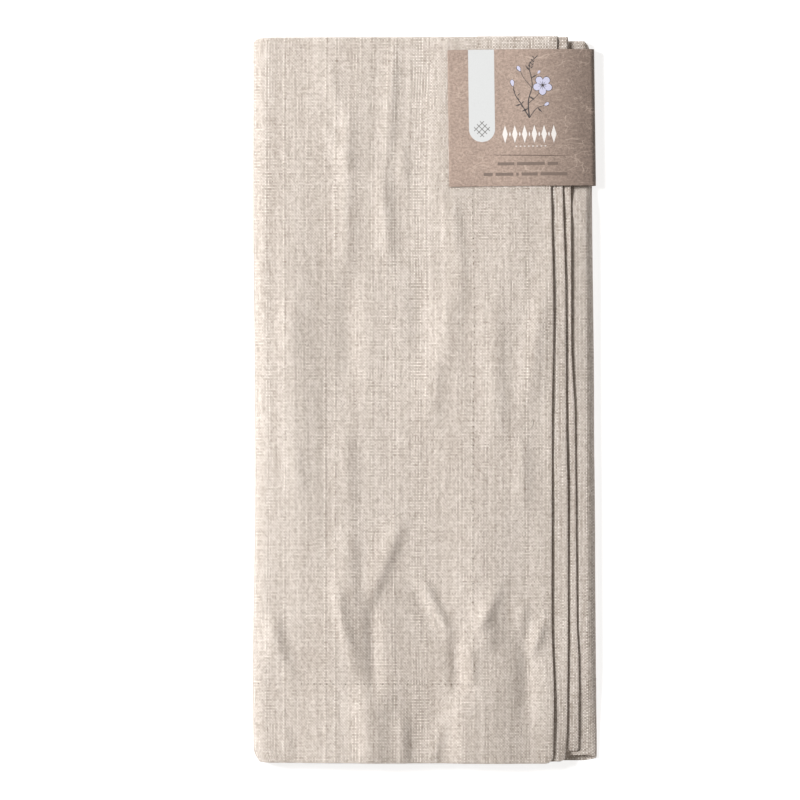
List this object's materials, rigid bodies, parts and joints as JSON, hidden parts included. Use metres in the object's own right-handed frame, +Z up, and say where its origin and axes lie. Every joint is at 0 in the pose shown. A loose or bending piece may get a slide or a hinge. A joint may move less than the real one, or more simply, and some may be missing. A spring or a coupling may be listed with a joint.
{
  "type": "folded table runner",
  "caption": "Hemmed linen table runner folded flat for sale, with a card label folded round one long edge.",
  "frame": {"origin": "middle of the pack's underside, on the surface that it lies on", "axes": "+X across the pack, from the closed left-hand fold to the label's side; +Y along the pack, from its foot to the head where the label is; +Z up"},
  "size_m": [0.1654, 0.35, 0.0136],
  "materials": {
    "linen": "natural undyed plain-weave linen, washed",
    "thread": "matt sewing thread in the cloth's own colour",
    "label_card": "uncoated brown card with a fine veined print",
    "glue": "soft clear-drying glue"
  },
  "bodies": {
    "runner": {"linen_cloth": "linen", "side_hem_thread_flap": "thread", "side_hem_thread_tucked": "thread", "end_hem_thread_outer": "thread", "end_hem_thread_inner": "thread"},
    "label": {"label_card": "label_card", "front_glue_dot": "glue", "back_glue_dot": "glue"}
  },
  "joints": [
    {"name": "label_slide", "type": "slide", "parent": "runner", "child": "label", "axis": [1, 0, 0], "range_m": [0, 0.09]}
  ]
}
